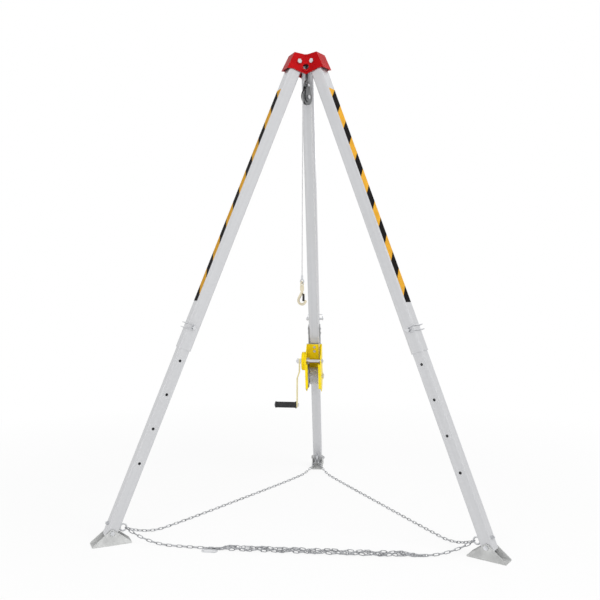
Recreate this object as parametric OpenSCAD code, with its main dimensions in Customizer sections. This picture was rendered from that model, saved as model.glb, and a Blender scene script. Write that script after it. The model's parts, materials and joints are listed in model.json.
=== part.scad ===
// Rescue tripod: a cast head, three telescopic square legs, hinged feet, a
// perimeter chain, a hanging pulley block and a hand winch with its hook line.
// Each leg is drawn in its own frame: X runs across the leg, +Y points outward
// from its outer face and -Z runs down the leg from the head pivot.

/* [Stand] */
// Height of the top of the head above the floor
stand_h = 2124; // [1950:1:2300]
// Lean of each leg away from upright, in degrees
leg_lean = 22.25; // [21:0.25:23.5]
// Distance of the leg pivots from the centre line
pivot_r = 54; // [53:1:58]
// Drop of the leg pivots below the top of the head
pivot_drop = 39; // [38:1:44]

/* [Head] */
// Wall of the head casting
head_wall = 5; // [4:0.5:6]
// Room on each side of a leg inside its arm
arm_room = 1; // [0.5:0.25:2]
// Lean of the plate behind each leg, in degrees
back_lean = 26.2; // [25.5:0.1:27]
// Depth of the head's arms below the leg pivots
skirt = 35; // [32:1:40]
// Depth of the dip in the middle of the head
dip = 6; // [5.5:0.5:12]
// Diameter of the anchor holes between the arms
anchor_d = 27; // [16:0.5:28]
// Diameter of the leg pivot bolts
pivot_bolt_d = 12; // [10:1:14]

/* [Upper leg] */
// Outer width of the upper tube
upper_w = 56; // [52:1:60]
// Wall of the upper tube
upper_wall = 3; // [2.5:0.25:3.5]
// Length of the upper tube above the pivot
upper_top = 12; // [11:0.5:13]
// Length of the upper tube below the pivot
upper_len = 1392; // [1350:1:1430]
// Height of the lock pin above the end of the upper tube
pin_up = 100; // [80:1:120]
// Width of the hazard tape on the outer face
tape_w = 46; // [40:1:46]
// Start of the hazard tape below the pivot
tape_start = 152; // [140:1:170]
// End of the hazard tape below the pivot
tape_end = 1179; // [1100:1:1210]

/* [Lower leg] */
// Slip between the lower tube and the upper tube, per side
leg_slip = 0.5; // [0.3:0.1:0.8]
// Wall of the lower tube
lower_wall = 3; // [2.5:0.25:3.5]
// Spacing of the height holes
hole_pitch = 152; // [140:1:156]
// Diameter of the height holes
hole_d = 12.5; // [12:0.1:13]
// Height of the chain eye above the foot pivot, along the leg
eye_up = 27; // [25:1:40]

/* [Lock pin] */
// Diameter of the lock pin
lock_d = 11.5; // [10:0.1:11.5]
// Reach of the lock pin past the far side of the leg
lock_past = 22; // [22:1:26]
// Wire of the lock pin's bail
bail_wire = 4; // [3:0.25:4.5]
// Width of the bail along the leg
bail_w = 25; // [24:1:30]

/* [Foot] */
// Height of the foot pivot above the floor
foot_pivot_h = 52; // [48:1:60]
// Length of the foot
foot_len = 160; // [140:1:180]
// Thickness of the foot's plates
foot_t = 5; // [4:0.5:6]
// Room on each side of the leg inside the foot
foot_room = 1; // [0.5:0.25:1.5]
// Diameter of the foot bolt
foot_bolt_d = 10; // [8:0.5:12]

/* [Chain] */
// Overall width of the chain
chain_d = 12; // [9:0.5:14]
// Bow of the front chain away from the stand
front_bow = 60; // [0:5:80]
// Share of each span that rises from the floor to an eye
rise_share = 0.14; // [0.1:0.01:0.2]
// Ring size of the chain eyes, to the middle of the wire
chain_eye_r = 14; // [12:0.5:15]
// Wire of the chain eyes
chain_eye_wire = 7; // [6:0.5:8]

/* [Pulley] */
// Rope radius on the sheave
sheave_r = 30; // [28:1:31]
// Diameter of the hook line
rope_d = 5; // [4:0.5:5.5]
// Height of the sheave axle below the top of the head
sheave_drop = 187; // [180:1:199]
// Height of the suspension eye below the top of the head
eye_drop = 128; // [124:1:132]
// Turn of the pulley block about the upright, in degrees
block_turn = -30; // [-36:1:-24]

/* [Hook] */
// Length of the hook line below the sheave
line_len = 820; // [760:1:860]
// Opening of the hook bowl
hook_bowl = 24; // [20:1:28]
// Thickness of the hook
hook_t = 12; // [10:0.5:13]

/* [Winch] */
// Distance of the drum axis below the end of the upper tube
drum_below = 192; // [185:1:205]
// Distance of the drum axis from the leg's middle
drum_out = 104; // [104:1:110]
// Room between the winch's side plates
winch_w = 76; // [76:1:90]
// Thickness of the winch's plates
plate_t = 4; // [3.5:0.25:4.5]
// Turns of rope in the outer layer on the drum
wind_turns = 9; // [7:1:9]
// Radius of the outer layer of rope
wind_r = 45; // [42:0.5:47]
// Tooth size of the gears
gear_m = 2; // [2:0.1:2.1]
// Length of the crank from its shaft to its grip
crank_len = 240; // [220:1:260]
// Length of the crank grip
grip_len = 117; // [105:1:125]
// Diameter of the crank grip
grip_d = 32; // [28:1:34]
// Diameter of the brake cover
cover_d = 100; // [96:1:106]

/* [Hidden] */
$fn = 48;
fit = 0.05;
clear = 0.3;

// Directions of the legs seen from above
left_az = 210;
right_az = 330;
rear_az = 90;

// Places along a leg, measured down from its pivot
pivot_z = stand_h - pivot_drop;
foot_s = (pivot_z - foot_pivot_h) / cos(leg_lean);
foot_r = pivot_r + foot_s * sin(leg_lean);
pin_s = upper_len - pin_up;
lower_w = upper_w - 2 * upper_wall - 2 * leg_slip;
holes_up = 3;
holes_down = 4;
hole_edge = 50;
lower_start = pin_s - holes_up * hole_pitch - hole_edge;
lower_end = foot_s + 20;
eye_s = foot_s - eye_up;

// The stand's centre line is set back so that the feet's box is centred on the origin
foot_w = lower_w + 2 * (foot_room + foot_t);
foot_out = foot_r + foot_len / 2;
axis_y = -(foot_out - foot_out * sin(30) - foot_w / 2 * cos(30)) / 2;

// Head
arm_in = upper_w + 2 * arm_room;
arm_w = arm_in + 2 * head_wall;
crease_r = arm_w / 2 / sin(60);
back_in = norm([upper_w / 2, upper_top]) + 1.7;
hub_spot_d = 26;
hub_boss_d = 26;
hub_boss_h = 10;
web_out = 11;
crease_fill_d = 12;
web_w = anchor_d + 10;
anchor_drop = pivot_drop + 22;
arm_low = pivot_drop + skirt;
tongue_drop = arm_low + 21;
skirt_flat = 26;
skirt_step = 9;
stop_s = 14;
stop_t = 8;
stop_w = arm_in + head_wall;

// Pulley block
eye_bolt_d = 12;
eye_r = 14;
eye_wire = 9;
top_pin_d = 8;
top_pin_z = stand_h - eye_drop - eye_r + eye_wire / 2 + top_pin_d / 2 + 0.5;
sheave_z = stand_h - sheave_drop;
sheave_w = 12;
sheave_lip = 5;
axle_d = 12;
cheek_in = sheave_w + 1;
cheek_t = 3;
cheek_low_d = 44;
cheek_top_d = 24;

// Hook and its swivel, measured down from the end of the hook line
ferrule_h = 18;
thimble_r = 9;
thimble_wire = 6.4;
swivel_r = 9.5;
swivel_wire = 7;
swivel_d = 19;
swivel_h = 22;
line_z = sheave_z - line_len;
thimble_z = line_z - ferrule_h - thimble_r;
swivel_z = thimble_z - thimble_r + (thimble_wire + swivel_wire) / 2 + clear - swivel_r;
barrel_top = swivel_z - swivel_r;
barrel_bottom = barrel_top - swivel_h;
hook_r = (hook_bowl + hook_t) / 2;
hook_neck = 26;
hook_z = barrel_bottom - clear - hook_neck - hook_r;
hook_turn = 160;
latch_t = 3;

// Winch
bracket_t = 4;
bracket_y = upper_w / 2;
base_y = bracket_y + bracket_t;
drum_s = upper_len + drum_below;
gear_teeth = 64;
pinion_teeth = 16;
gear_gap = gear_m * (gear_teeth + pinion_teeth) / 2;
crank_in = 22;
crank_s = drum_s - sqrt(gear_gap * gear_gap - crank_in * crank_in);
mesh_a = 90 - asin(crank_in / gear_gap);
gear_t = 9;
gear_addendum = 1.4;
gear_dedendum = 2.2;
gear_play = 0.6;
drum_y = -drum_out;
crank_y = drum_y + crank_in;
plate_in = winch_w / 2;
plate_out = plate_in + plate_t;
plate_top_s = drum_s - 155;
plate_low_s = drum_s + 88;
plate_slope_top = 50;
plate_slope_low = 45;
base_end_s = drum_s + 60;
bracket_top_s = upper_len - 63;
plate_front = drum_out + gear_m * gear_teeth / 2 + 6;
flange_w = 14;
drum_shaft_d = 20;
drum_core_d = 50;
drum_flange_r = wind_r + 10;
drum_flange_t = 3;
wind_pitch = rope_d + 0.5;
wind_room = 0.5;
drum_in = wind_turns * wind_pitch + rope_d + 2 * wind_room;
drum_left = -27 + drum_flange_t;
drum_right = drum_left + drum_in;
wind_x = drum_left + wind_room + rope_d / 2;
gear_x = drum_left - drum_flange_t - gear_t;
crank_d = 16;
ratchet_r = 28;
ratchet_depth = 5;
ratchet_teeth = 12;
ratchet_t = 5;
ratchet_x = -plate_out - 1 - ratchet_t;
disc_t = 3;
hub_t = 8;
pawl_pivot = [-25.7, 30.6];
pawl_pin_d = 6;
cover_h = 24;
cover_wall = 2;
arm_x = -plate_out - cover_h - 10;
arm_t = 6;
arm_bar_w = 28;
arm_jog = 12;
grip_pin_d = 12;
tie_s = crank_s - 26;
tie_y = -drum_out - 23;
tie_d = 12;

// Frames
module leg(az) {
  translate([0, axis_y, 0]) rotate([0, 0, az - 90]) translate([0, pivot_r, pivot_z])
    rotate([leg_lean, 0, 0]) children();
}
module at_foot(az) {
  translate([0, axis_y, 0]) rotate([0, 0, az - 90]) translate([0, foot_r, 0]) children();
}
module at_head() {
  translate([0, axis_y, stand_h]) children();
}
module at_block() {
  translate([0, axis_y, 0]) rotate([0, 0, block_turn]) children();
}
module at_line() {
  at_block() translate([0, -sheave_r, 0]) children();
}
module at_drum() {
  leg(rear_az) translate([0, drum_y, -drum_s]) children();
}
module at_crank() {
  leg(rear_az) translate([0, crank_y, -crank_s]) children();
}
// The crank hangs plumb, so its arm undoes the leg's lean
module at_crank_arm() {
  at_crank() rotate([-leg_lean, 0, 0]) children();
}

// Shared shapes
module round_square(w, r) {
  square([w - 2 * r, w], center = true);
  square([w, w - 2 * r], center = true);
  for (x = [-1, 1], y = [-1, 1])
    translate([x, y] * (w / 2 - r)) circle(r);
}
module box_tube(w, wall, r, start, end) {
  translate([0, 0, -end]) linear_extrude(end - start) difference() {
    round_square(w, r);
    round_square(w - 2 * wall, max(r - wall, 0.5));
  }
}
module rod_x(d, x0, x1) {
  translate([x0, 0, 0]) rotate([0, 90, 0]) cylinder(d = d, h = x1 - x0);
}
module rod_y(d, y0, y1) {
  translate([0, y1, 0]) rotate([90, 0, 0]) cylinder(d = d, h = y1 - y0);
}
module hex_x(af, x0, x1) {
  translate([x0, 0, 0]) rotate([0, 90, 0]) cylinder(d = af / cos(30), h = x1 - x0, $fn = 6);
}
module nut_x(af, d, x0, x1) {
  difference() {
    hex_x(af, x0, x1);
    rod_x(d + 2 * fit, x0 - 1, x1 + 1);
  }
}
module side_plate(x0, x1) {
  translate([x0, 0, 0]) rotate([90, 0, 90]) linear_extrude(x1 - x0) children();
}
module ring(r, wire) {
  rotate_extrude() translate([r, 0]) circle(d = wire);
}
module rod_between(a, b, d) {
  run = b - a;
  translate(a) rotate([0, acos(run[2] / norm(run)), atan2(run[1], run[0])]) cylinder(d = d, h = norm(run));
}
module wire_run(points, d) {
  for (k = [1 : len(points) - 1]) {
    rod_between(points[k - 1], points[k], d);
    translate(points[k]) sphere(d = d);
  }
}

// Tubes swept along points, with a steady sideways direction
function unit(v) = v / norm(v);
function heading(p, k) = unit(p[min(k + 1, len(p) - 1)] - p[max(k - 1, 0)]);
function tube_ring(at, along, side, r, sides) =
  let (a = unit(cross(along, side)), b = cross(along, a))
  [for (i = [0 : sides - 1]) at + r * (cos(360 * i / sides) * a + sin(360 * i / sides) * b)];
module swept_tube(p, side, d, sides) {
  rings = len(p);
  points = [for (k = [0 : rings - 1]) each tube_ring(p[k], heading(p, k), side, d / 2, sides)];
  caps = [
    [for (i = [0 : sides - 1]) i],
    [for (i = [0 : sides - 1]) rings * sides - 1 - i]
  ];
  walls = [for (k = [0 : rings - 2], i = [0 : sides - 1])
    let (a = k * sides + i, b = k * sides + (i + 1) % sides)
    each [[a, a + sides, b], [b, a + sides, b + sides]]];
  polyhedron(points, concat(caps, walls));
}

// Head
function back_point(away, along) = [
  pivot_r + away * cos(back_lean) + along * sin(back_lean),
  -pivot_drop + away * sin(back_lean) - along * cos(back_lean)
];
// Outer face of an open leg, s down from its pivot
function leg_face(s) = [
  pivot_r + (upper_w / 2 + clear) * cos(leg_lean) + s * sin(leg_lean),
  -pivot_drop + (upper_w / 2 + clear) * sin(leg_lean) - s * cos(leg_lean)
];
function back_at(away, z) = back_point(away, (away * sin(back_lean) - pivot_drop - z) / cos(back_lean));
module arm_outline() {
  back_out = back_in + head_wall;
  polygon([
    [0, -dip], back_at(back_out, 0), back_at(back_out, -arm_low), [pivot_r + skirt_flat, -arm_low],
    [pivot_r, -arm_low - skirt_step], [0, -tongue_drop]
  ]);
}
module arm_hollow() {
  deep = 2 * tongue_drop;
  polygon([
    [0, -dip - head_wall - 1], back_at(back_in, -head_wall - 1), back_at(back_in, -deep), [0, -deep]
  ]);
}
module arms() {
  for (az = [left_az, right_az, rear_az])
    rotate([0, 0, az - 90]) children();
}
module anchors(d, r0, r1) {
  arms() rotate([0, 0, 180]) translate([0, 0, -anchor_drop]) rod_y(d, r0, r1);
}
module head_casting() {
  color("firebrick") at_head() {
    difference() {
      union() {
        arms() side_plate(-arm_w / 2, arm_w / 2) arm_outline();
        arms() rotate([0, 0, 180]) translate([-web_w / 2, 0, -anchor_drop])
          cube([web_w, crease_r + web_out, anchor_drop - pivot_drop + 20]);
        anchors(web_w + 2, 0, crease_r + web_out);
        arms() rotate([0, 0, 180]) translate([0, crease_r - 1, -anchor_drop])
          cylinder(d = crease_fill_d, h = anchor_drop - dip / 2 - 1);
      }
      arms() side_plate(-arm_in / 2, arm_in / 2) arm_hollow();
      arms() translate([0, pivot_r, -pivot_drop]) rod_x(pivot_bolt_d + 2 * fit, -arm_w, arm_w);
      anchors(anchor_d, 0, 3 * crease_r);
      translate([0, 0, -dip]) cylinder(d = hub_spot_d, h = 2 * dip);
      translate([0, 0, -pivot_drop]) cylinder(d = eye_bolt_d + 2 * fit, h = pivot_drop);
    }
    difference() {
      translate([0, 0, -dip - head_wall - hub_boss_h])
        cylinder(d = hub_boss_d, h = head_wall / 2 + hub_boss_h);
      translate([0, 0, -pivot_drop]) cylinder(d = eye_bolt_d + 2 * fit, h = pivot_drop);
    }
    arms() side_plate(-stop_w / 2, stop_w / 2) polygon([
      leg_face(stop_s), leg_face(stop_s + stop_t), back_point(back_in + head_wall / 2, stop_s + stop_t),
      back_point(back_in + head_wall / 2, stop_s)
    ]);
  }
}
module pivot_bolts() {
  head_h = 7.5;
  color("silver") for (az = [left_az, right_az, rear_az]) leg(az) {
    rod_x(pivot_bolt_d, -arm_w / 2, arm_w / 2 + 13);
    hex_x(1.58 * pivot_bolt_d, -arm_w / 2 - head_h, -arm_w / 2);
    nut_x(1.58 * pivot_bolt_d, pivot_bolt_d, arm_w / 2, arm_w / 2 + 10);
  }
}
module head_eye_bolt() {
  shank_low = -eye_drop + eye_r + eye_wire / 6;
  stud_up = 4;
  nut_h = 6;
  collar_h = 6;
  color("gainsboro") at_head() rotate([0, 0, block_turn]) {
    translate([0, 0, shank_low]) cylinder(d = eye_bolt_d, h = stud_up - shank_low);
    translate([0, 0, -eye_drop]) rotate([0, 90, 0]) ring(eye_r, eye_wire);
    translate([0, 0, -dip - head_wall - hub_boss_h - collar_h]) cylinder(d = 22, h = collar_h);
    translate([0, 0, -dip]) rotate([0, -90, 0]) nut_x(18, eye_bolt_d, 0, nut_h);
  }
}

// Pulley block
module pulley_cheeks() {
  color("dimgray") at_block() for (side = [-1, 1])
    side_plate(side > 0 ? cheek_in / 2 : -cheek_in / 2 - cheek_t,
               side > 0 ? cheek_in / 2 + cheek_t : -cheek_in / 2) difference() {
      union() {
        translate([0, sheave_z]) circle(d = cheek_low_d);
        translate([0, top_pin_z]) circle(d = cheek_top_d);
        polygon([
          [-cheek_low_d / 2, sheave_z], [cheek_low_d / 2, sheave_z],
          [cheek_top_d / 2, top_pin_z], [-cheek_top_d / 2, top_pin_z]
        ]);
      }
      translate([0, sheave_z]) circle(d = axle_d + 2 * fit);
      translate([0, top_pin_z]) circle(d = top_pin_d + 2 * fit);
    }
}
module pulley_pins() {
  out = cheek_in / 2 + cheek_t;
  axle_head = 6;
  color("silver") at_block() {
    translate([0, 0, sheave_z]) {
      rod_x(axle_d, -out, out);
      for (x = [-out - axle_head, out]) rod_x(axle_d + 6, x, x + axle_head);
    }
    translate([0, 0, top_pin_z]) {
      rod_x(top_pin_d, -out, out);
      for (x = [-out - 3, out]) rod_x(top_pin_d + 5, x, x + 3);
    }
  }
}
module sheave() {
  color("slategray") at_block() translate([0, 0, sheave_z]) rotate([0, 90, 0]) rotate_extrude()
    difference() {
      translate([axle_d / 2 + fit, -sheave_w / 2])
        square([sheave_r + sheave_lip - axle_d / 2 - fit, sheave_w]);
      translate([sheave_r, 0]) circle(d = rope_d + 2 * clear);
      polygon([
        [sheave_r, -rope_d / 2 - clear], [sheave_r + sheave_lip + 1, -sheave_w / 2 + 1],
        [sheave_r + sheave_lip + 1, sheave_w / 2 - 1], [sheave_r, rope_d / 2 + clear]
      ]);
    }
}

// Hook line: over the sheave, then straight to the drum on the rear leg
function leg_point(p) =
  [p[0],
   axis_y + pivot_r + p[1] * cos(leg_lean) - p[2] * sin(leg_lean),
   pivot_z + p[1] * sin(leg_lean) + p[2] * cos(leg_lean)];
block_side = [cos(block_turn), sin(block_turn), 0];
block_ahead = [-sin(block_turn), cos(block_turn), 0];
sheave_at = [0, axis_y, sheave_z];
wrap_end = 158;
wrap_past = 24;
wrap_steps = 16;
function on_sheave(a) = sheave_at + sheave_r * (-cos(a) * block_ahead + [0, 0, sin(a)]);
exit_at = [wind_x + wind_turns * wind_pitch, drum_y + wind_r, -drum_s];
lift_low = leg_point(exit_at + [0, 0, rope_d + clear]);
lift_steps = 40;
lift_top = on_sheave(wrap_end) + wrap_past * (sin(wrap_end) * block_ahead + [0, 0, cos(wrap_end)]);
lift_points = concat(
  [for (k = [0 : wrap_steps]) on_sheave(wrap_end * k / wrap_steps)],
  [for (k = [0 : lift_steps]) lift_top + (lift_low - lift_top) * k / lift_steps]
);
module rope_hook() {
  color("lightgray") at_line() translate([0, 0, line_z]) cylinder(d = rope_d, h = line_len);
}
module rope_lift() {
  color("lightgray") swept_tube(lift_points, block_side, rope_d, 8);
}

// Outer layer of rope on the drum, wound over the layers below it
wind_rings = 24;
wind_sag = wind_r * (1 - cos(180 / wind_rings));
function wind_point(a) = [wind_x + wind_pitch * a / 360, wind_r * cos(a), wind_r * sin(a)];
wind_points = concat(
  [wind_point(0) - [0, 0, rope_d]],
  [for (k = [0 : wind_rings * wind_turns]) wind_point(360 * k / wind_rings)],
  [wind_point(360 * wind_turns) + [0, 0, rope_d]]
);
wind_gap = min([
  for (i = [0 : len(wind_points) - 1])
    for (j = [i + wind_rings / 2 : 1 : len(wind_points) - 1]) norm(wind_points[i] - wind_points[j])
]) - rope_d;
echo(least_gap_between_rope_turns = wind_gap);
module rope_winding() {
  color("lightgray") at_drum() {
    swept_tube(wind_points, [1, 0, 0], rope_d, 6);
    difference() {
      rod_x(2 * (wind_r - wind_sag - clear) - rope_d, drum_left + clear, drum_right - clear);
      rod_x(drum_core_d + 2 * fit, drum_left, drum_right);
    }
  }
}

// Perimeter chain: each span rises to an eye at both ends and lies on the floor between
function eye_at(az) =
  let (y = -lower_w / 2 - chain_eye_r * 2 - 4, r = pivot_r + y * cos(leg_lean) + eye_s * sin(leg_lean))
  [r * cos(az), axis_y + r * sin(az), pivot_z + y * sin(leg_lean) - eye_s * cos(leg_lean)];
function chain_point(from, to, bow, t) =
  let (a = eye_at(from), b = eye_at(to), floor_z = chain_d / 2 + 0.5,
       run = unit(b - a), out = [run[1], -run[0], 0],
       low = max(0, 1 - min(t, 1 - t) / rise_share),
       flat = [a[0], a[1], floor_z] + (b - a) * t + out * bow * (1 - pow(2 * t - 1, 4)))
  flat + [0, 0, (a[2] - floor_z) * low * low];
module chain_run(from, to, bow, t0, t1, steps) {
  swept_tube([for (k = [0 : steps]) chain_point(from, to, bow, t0 + (t1 - t0) * k / steps)],
             [0, 0, 1], chain_d, 8);
}
left_bow = -28;
right_bow = -12;
near_start = (chain_eye_wire / 2 - 0.1) / norm(eye_at(left_az) - eye_at(right_az));
near_end = rise_share;
far_start = rise_share + 0.0005;
module chain_front() {
  color("darkgray") chain_run(left_az, right_az, front_bow, far_start, 1 - far_start, 24);
}
module chain_left() {
  color("darkgray") chain_run(rear_az, left_az, left_bow, far_start, 1 - far_start, 24);
}
module chain_right() {
  color("darkgray") chain_run(right_az, rear_az, right_bow, far_start, 1 - far_start, 24);
}
module chain_end(from, back, bow, back_bow) {
  color("darkgray") {
    chain_run(from[0], from[1], bow, near_start, near_end, 8);
    chain_run(back[0], back[1], back_bow, 1 - near_end, 1 - near_start, 8);
  }
}
module chain_end_left() {
  chain_end([left_az, right_az], [rear_az, left_az], front_bow, left_bow);
}
module chain_end_right() {
  chain_end([right_az, rear_az], [left_az, right_az], right_bow, front_bow);
}
module chain_end_rear() {
  chain_end([rear_az, left_az], [right_az, rear_az], left_bow, right_bow);
}
// Snap link that gathers the spare chain, lying beside the front run
snap_t = 0.26;
snap_len = 60;
snap_w = 28;
snap_wire = 6;
module chain_snap_link() {
  at = chain_point(left_az, right_az, front_bow, snap_t);
  color("silver") translate([at[0], at[1] - chain_d / 2 - clear - snap_w / 2, snap_wire / 2 + 0.2]) {
    bow_r = (snap_w - snap_wire) / 2;
    half = snap_len / 2 - bow_r;
    for (turn = [0, 180]) rotate([0, 0, turn]) {
      translate([half, 0, 0]) rotate([0, 0, -90])
        rotate_extrude(angle = 180) translate([bow_r, 0]) circle(d = snap_wire);
      translate([0, bow_r, 0]) rod_x(snap_wire, -half, half);
    }
  }
}

// Upper legs
upper_round = 5;
bracket_screws = [upper_len - 40, upper_len - 14];
screw_d = 6;
module upper_tube(az, holes = []) {
  color("gainsboro") leg(az) difference() {
    box_tube(upper_w, upper_wall, upper_round, -upper_top, upper_len);
    rod_x(pivot_bolt_d + 2 * fit, -upper_w, upper_w);
    translate([0, 0, -pin_s]) rod_x(hole_d, -upper_w, upper_w);
    for (s = holes) translate([0, 0, -s]) rod_x(screw_d + 2 * fit, -upper_w, upper_w);
  }
}
tape_t = 0.4;
module hazard_tape(az) {
  color("orange") leg(az) translate([-tape_w / 2, upper_w / 2, -tape_end])
    cube([tape_w, tape_t, tape_end - tape_start]);
}

// Lower legs
lower_round = 4;
chain_bolt_d = 8;
module lower_tube(az) {
  color("whitesmoke") leg(az) difference() {
    box_tube(lower_w, lower_wall, lower_round, lower_start, lower_end);
    for (k = [-holes_up : holes_down])
      translate([0, 0, -pin_s - k * hole_pitch]) rod_x(hole_d, -lower_w, lower_w);
    translate([0, 0, -foot_s]) rod_x(foot_bolt_d + 2 * fit, -lower_w, lower_w);
    translate([0, 0, -eye_s]) rod_y(chain_bolt_d + 2 * fit, -lower_w, lower_w);
  }
}
module chain_eye(az) {
  collar_t = 4;
  nut_t = 7;
  color("silver") leg(az) translate([0, 0, -eye_s]) {
    rod_y(chain_bolt_d, -lower_w / 2 - collar_t - 4, lower_w / 2 + nut_t + 4);
    rod_y(chain_bolt_d + 8, -lower_w / 2 - collar_t, -lower_w / 2);
    translate([0, -lower_w / 2 - collar_t - chain_eye_r, 0]) rotate([0, 90, 0])
      ring(chain_eye_r, chain_eye_wire);
    rotate([0, 0, 90]) nut_x(13, chain_bolt_d, lower_w / 2, lower_w / 2 + nut_t);
  }
}

// Feet
module foot_bolt(az) {
  out = foot_w / 2 + clear;
  color("silver") leg(az) translate([0, 0, -foot_s]) {
    rod_x(foot_bolt_d, -out, out + 11);
    hex_x(17, -out - 6.5, -out);
    nut_x(17, foot_bolt_d, out, out + 8);
  }
}
module foot(az) {
  half = foot_len / 2;
  apex_r = 13;
  toe_h = foot_t + 1;
  toe_a = atan2(toe_h - foot_pivot_h, half) + acos(apex_r / norm([half, foot_pivot_h - toe_h]));
  top = [apex_r * cos(toe_a), foot_pivot_h + apex_r * sin(toe_a)];
  color("lightgray") at_foot(az) {
    translate([-foot_w / 2, -half, 0]) cube([foot_w, foot_len, foot_t]);
    for (x = [-foot_w / 2, foot_w / 2 - foot_t]) side_plate(x, x + foot_t) difference() {
      union() {
        polygon([
          [-half, 0], [half, 0], [half, toe_h], top, [-top[0], top[1]], [-half, toe_h]
        ]);
        translate([0, foot_pivot_h]) circle(apex_r);
      }
      translate([0, foot_pivot_h]) circle(d = foot_bolt_d + 2 * fit);
    }
  }
}

// Lock pins with wire bails. Side is -1 or 1 for the face that the head is on
lock_head_l = 14;
lock_head_d = 15;
bail_hinge_x = upper_w / 2 + clear + lock_head_l / 2;
bail_far_x = bail_hinge_x - upper_w - lock_past - 2;
bail_over = upper_w / 2 + 6;
module lock_frame(az, side) {
  leg(az) translate([0, 0, -pin_s]) rotate([0, side < 0 ? 180 : 0, 0]) children();
}
module lock_pin(az, side) {
  head = upper_w / 2 + clear;
  color("silver") lock_frame(az, side) difference() {
    union() {
      rod_x(lock_d, -upper_w / 2 - lock_past, head);
      rod_x(lock_head_d, head, head + lock_head_l);
    }
    translate([bail_hinge_x, 0, -lock_head_d]) cylinder(d = bail_wire + 2 * fit, h = 2 * lock_head_d);
  }
}
module lock_bail(az, side) {
  half = (bail_w - bail_wire) / 2;
  rest_y = (lock_d + bail_wire) / 2 + clear;
  color("gray") lock_frame(az, side) wire_run([
    [bail_hinge_x, 0, 0], [bail_hinge_x, 0, half], [bail_hinge_x, bail_over, half],
    [bail_far_x, bail_over, half], [bail_far_x, rest_y, half], [bail_far_x, rest_y, -half],
    [bail_far_x, bail_over, -half], [bail_hinge_x, bail_over, -half], [bail_hinge_x, 0, -half],
    [bail_hinge_x, 0, 0]
  ], bail_wire);
}

// Winch frame
base_bolt_d = 8;
base_bolts = [[0, plate_top_s + 15], [0, plate_top_s + 40], [-25, base_end_s - 14], [25, base_end_s - 14]];
module winch_bracket() {
  cheek_back = 12;
  cheek_end_s = plate_top_s + 60;
  color("dimgray") leg(rear_az) difference() {
    union() {
      translate([-plate_out, -base_y, -base_end_s])
        cube([2 * plate_out, bracket_t, base_end_s - plate_top_s]);
      for (x = [-upper_w / 2 - bracket_t, upper_w / 2])
        translate([x, -base_y, -cheek_end_s])
          cube([bracket_t, base_y + cheek_back, cheek_end_s - bracket_top_s]);
    }
    for (s = bracket_screws) translate([0, 0, -s]) rod_x(screw_d + 2 * fit, -upper_w, upper_w);
    for (b = base_bolts) translate([b[0], 0, -b[1]]) rod_y(base_bolt_d + 2 * fit, -2 * base_y, 0);
  }
}
module plate_outline() {
  polygon([
    [-base_y, -plate_top_s], [-base_y - 28, -plate_top_s], [-plate_front, -plate_top_s - plate_slope_top],
    [-plate_front, -plate_low_s + plate_slope_low], [-drum_out - 18, -plate_low_s],
    [-drum_out + 22, -plate_low_s], [-base_y, -base_end_s]
  ]);
}
module winch_frame() {
  color("gold") leg(rear_az) difference() {
    union() {
      translate([-plate_out, -base_y - plate_t, -base_end_s])
        cube([2 * plate_out, plate_t, base_end_s - plate_top_s]);
      side_plate(-plate_out, -plate_in) plate_outline();
      side_plate(plate_in, plate_out) plate_outline();
      for (x = [-plate_out, plate_out - flange_w])
        translate([x, -plate_front, -plate_low_s + plate_slope_low])
          cube([flange_w, plate_t, plate_low_s - plate_top_s - plate_slope_top - plate_slope_low]);
    }
    translate([0, drum_y, -drum_s]) rod_x(drum_shaft_d + 2 * fit, -2 * plate_out, 2 * plate_out);
    translate([0, crank_y, -crank_s]) rod_x(crank_d + 2 * fit, -2 * plate_out, 2 * plate_out);
    translate([0, tie_y, -tie_s]) rod_x(tie_d + 2 * fit, -2 * plate_out, 2 * plate_out);
    translate([0, crank_y + pawl_pivot[0], -crank_s + pawl_pivot[1]])
      rod_x(pawl_pin_d + 2 * fit, -2 * plate_out, 0);
    for (b = base_bolts) translate([b[0], 0, -b[1]]) rod_y(base_bolt_d + 2 * fit, -2 * base_y, 0);
  }
}
module winch_bolts() {
  bolt_head = base_y + plate_t;
  color("silver") {
    leg(rear_az) {
      for (b = base_bolts) translate([b[0], 0, -b[1]]) {
        rod_y(base_bolt_d, -bolt_head, -bracket_y);
        rotate([0, 0, 90]) hex_x(13, -bolt_head - 5.3, -bolt_head);
      }
      for (s = bracket_screws, turn = [0, 180]) translate([0, 0, -s]) rotate([0, turn, 0]) {
        rod_x(screw_d, upper_w / 2 - upper_wall + 0.2, base_y);
        hex_x(10, base_y, base_y + 4);
      }
    }
    at_crank() translate([0, pawl_pivot[0], pawl_pivot[1]]) {
      rod_x(pawl_pin_d, ratchet_x - 1, -plate_in);
      rod_x(pawl_pin_d + 4, ratchet_x - 3, ratchet_x - 1);
    }
  }
}
module brake_cover() {
  end_x = -plate_out - cover_h;
  edge = 6;
  color("gold") at_crank() rotate([0, -90, 0]) rotate_extrude() difference() {
    union() {
      translate([0, plate_out]) square([cover_d / 2, cover_h - edge]);
      translate([0, plate_out]) square([cover_d / 2 - edge, cover_h]);
      translate([cover_d / 2 - edge, -end_x - edge]) circle(edge);
    }
    translate([0, plate_out - 1]) square([cover_d / 2 - cover_wall, cover_h - edge + 1]);
    translate([0, plate_out - 1]) square([cover_d / 2 - edge, cover_h - cover_wall + 1]);
    square([crank_d / 2 + 4, 3 * cover_h + plate_out]);
    translate([-cover_d, 0]) square([cover_d, 2 * plate_out + cover_h]);
  }
}
module tie_bar() {
  color("silver") leg(rear_az) translate([0, tie_y, -tie_s]) {
    rod_x(tie_d, -plate_out, plate_out + 12);
    rod_x(tie_d + 4, -plate_in, plate_in);
    nut_x(19, tie_d, plate_out, plate_out + 9);
  }
}

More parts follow.
